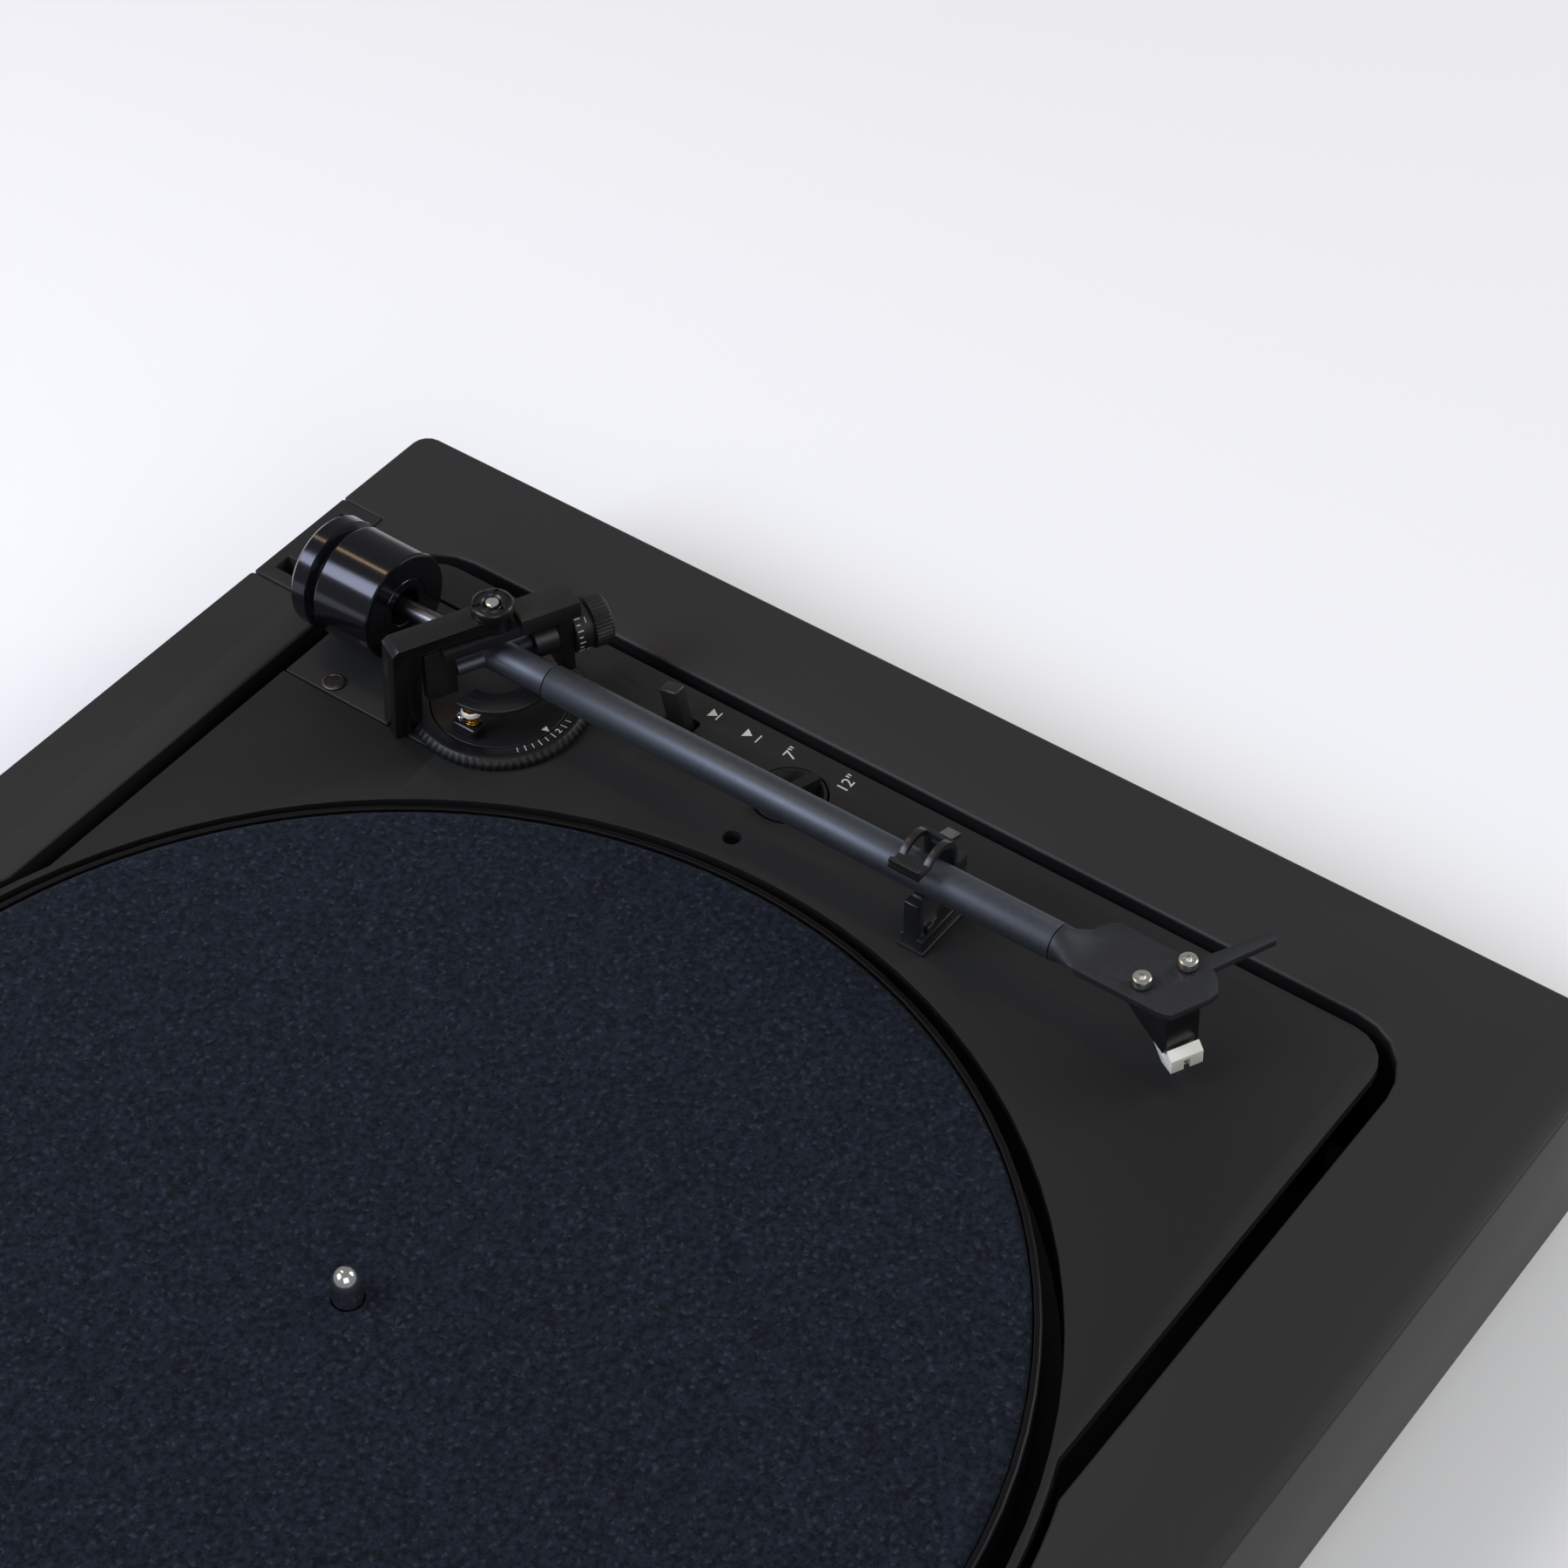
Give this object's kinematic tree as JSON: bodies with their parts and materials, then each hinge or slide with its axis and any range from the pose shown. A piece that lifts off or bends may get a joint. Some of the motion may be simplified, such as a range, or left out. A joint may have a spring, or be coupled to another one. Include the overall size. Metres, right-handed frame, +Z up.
{
  "type": "turntable record player",
  "caption": "Belt-drive record player: floating deck in a rectangular plinth, felt-covered platter, gimballed straight tonearm with counterweight, arm rest, latch and controls.",
  "frame": {"origin": "centre of the footprint at the bottom of the feet", "axes": "+X along the long side towards the tonearm, +Y to the rear, +Z up"},
  "size_m": [0.43, 0.365, 0.0962],
  "materials": {
    "satin_black_lacquer": "satin",
    "matt_black_plastic": "matt",
    "gloss_black_plastic": "polished",
    "black_anodised": "satin anodised",
    "turned_aluminium": "turned",
    "bright_steel": "polished",
    "brass": "polished",
    "felt": "felted",
    "rubber": "matt",
    "white_plastic": "satin",
    "board": "solder mask"
  },
  "bodies": {
    "base": {"plinth_frame": "satin_black_lacquer", "bottom_plate": "matt_black_plastic", "foot_front_left": "rubber", "foot_front_right": "rubber", "foot_rear_left": "rubber", "foot_rear_right": "rubber", "hinge_socket_left": "matt_black_plastic", "hinge_socket_right": "matt_black_plastic", "socket_panel": "matt_black_plastic", "audio_sockets": "bright_steel", "ground_terminal": "bright_steel", "power_inlet": "gloss_black_plastic", "circuit_board": "board", "isolator_front_left": "rubber", "isolator_front_right": "rubber", "isolator_rear_left": "rubber", "isolator_rear_right": "rubber"},
    "subchassis": {"chassis_panel": "matt_black_plastic", "arm_mount_plate": "matt_black_plastic", "mount_plate_screw": "bright_steel", "platter_well": "black_anodised", "bearing_housing": "bright_steel", "motor": "black_anodised", "drive_belt": "rubber", "cam_post": "bright_steel", "arm_base": "gloss_black_plastic", "arm_bracket": "gloss_black_plastic", "pivot_cap": "gloss_black_plastic", "pivot_screw": "bright_steel", "lift_block": "gloss_black_plastic", "lift_screw": "brass", "arm_rest": "gloss_black_plastic"},
    "platter": {"platter": "black_anodised", "felt_mat": "felt", "sub_platter": "matt_black_plastic", "spindle": "bright_steel"},
    "pulley": {"motor_pulley": "brass"},
    "cam": {"cam_gear": "white_plastic"},
    "skate_ring": {"anti_skate_ring": "gloss_black_plastic"},
    "gimbal": {"gimbal_frame": "matt_black_plastic"},
    "force_dial": {"tracking_dial": "gloss_black_plastic"},
    "tonearm": {"arm_sleeve": "black_anodised", "arm_tube": "black_anodised", "weight_rod": "bright_steel", "headshell": "black_anodised", "cartridge": "gloss_black_plastic", "stylus_holder": "white_plastic", "stylus": "turned_aluminium", "cartridge_screw_left": "bright_steel", "cartridge_screw_right": "bright_steel"},
    "weight": {"counterweight": "black_anodised"},
    "lift": {"lift_plate": "matt_black_plastic"},
    "latch": {"rest_latch": "gloss_black_plastic"},
    "cue": {"cue_lever": "gloss_black_plastic"},
    "size_selector": {"size_knob": "gloss_black_plastic"},
    "speed_selector": {"speed_knob": "gloss_black_plastic"},
    "start": {"start_lever": "gloss_black_plastic"}
  },
  "joints": [
    {"name": "subchassis_float", "type": "slide", "parent": "base", "child": "subchassis", "axis": [0, 0, 1], "range_m": [-0.0007, 0.002], "stiffness_N_per_m": 20000, "springref_m": 0.00065, "deforming": ["isolator_front_left", "isolator_front_right", "isolator_rear_left", "isolator_rear_right"]},
    {"name": "platter_spin", "type": "hinge", "parent": "subchassis", "child": "platter", "pos_m": [-0.01949, 0.0049, 0.06], "axis": [0, 0, 1], "continuous": true},
    {"name": "pulley_spin", "type": "hinge", "parent": "subchassis", "child": "pulley", "pos_m": [-0.11556, -0.0399, 0.051], "axis": [0, 0, 1], "continuous": true},
    {"name": "cam_turn", "type": "hinge", "parent": "subchassis", "child": "cam", "pos_m": [0.02425, 0.03483, 0.045], "axis": [0, 0, 1], "continuous": true},
    {"name": "anti_skate_turn", "type": "hinge", "parent": "subchassis", "child": "skate_ring", "pos_m": [0.14425, 0.09728, 0.062], "axis": [0, 0, 1], "range_deg": [-90, 90]},
    {"name": "arm_swing", "type": "hinge", "parent": "subchassis", "child": "gimbal", "pos_m": [0.14425, 0.09728, 0.0784], "axis": [0, 0, -1], "range_deg": [0, 44]},
    {"name": "arm_lift", "type": "hinge", "parent": "gimbal", "child": "tonearm", "pos_m": [0.14425, 0.09728, 0.0784], "axis": [-0.8949, 0.4462, 0], "range_deg": [0, 1.5]},
    {"name": "force_set", "type": "hinge", "parent": "gimbal", "child": "force_dial", "pos_m": [0.16572, 0.08657, 0.0784], "axis": [0.8949, -0.4462, 0], "range_deg": [0, 240]},
    {"name": "weight_slide", "type": "slide", "parent": "tonearm", "child": "weight", "axis": [-0.011, -0.9997, 0.0216], "range_m": [-0.0015, 0.005]},
    {"name": "lift_raise", "type": "slide", "parent": "subchassis", "child": "lift", "axis": [0, 0, 1], "range_m": [0, 0.0006]},
    {"name": "cue_tilt", "type": "hinge", "parent": "subchassis", "child": "cue", "pos_m": [0.1665, 0.0573, 0.0585], "axis": [1, 0, 0], "range_deg": [0, 35]},
    {"name": "latch_turn", "type": "hinge", "parent": "subchassis", "child": "latch", "pos_m": [0.15221, -0.03312, 0.0798], "axis": [0, 1, 0], "range_deg": [0, 110]},
    {"name": "size_turn", "type": "hinge", "parent": "subchassis", "child": "size_selector", "pos_m": [0.1617, 0.0203, 0.06], "axis": [0, 0, 1], "range_deg": [0, 60]},
    {"name": "speed_turn", "type": "hinge", "parent": "subchassis", "child": "speed_selector", "pos_m": [-0.15895, -0.1139, 0.06], "axis": [0, 0, 1], "range_deg": [-45, 45]},
    {"name": "start_slide", "type": "slide", "parent": "subchassis", "child": "start", "axis": [1, 0, 0], "range_m": [0, 0.015]}
  ],
  "couplings": [
    {"joint": "pulley_spin", "follows": "platter_spin", "ratio": 8},
    {"joint": "lift_raise", "follows": "arm_lift", "m_per_rad": 0.02},
    {"joint": "cue_tilt", "follows": "arm_lift", "ratio": 23}
  ]
}
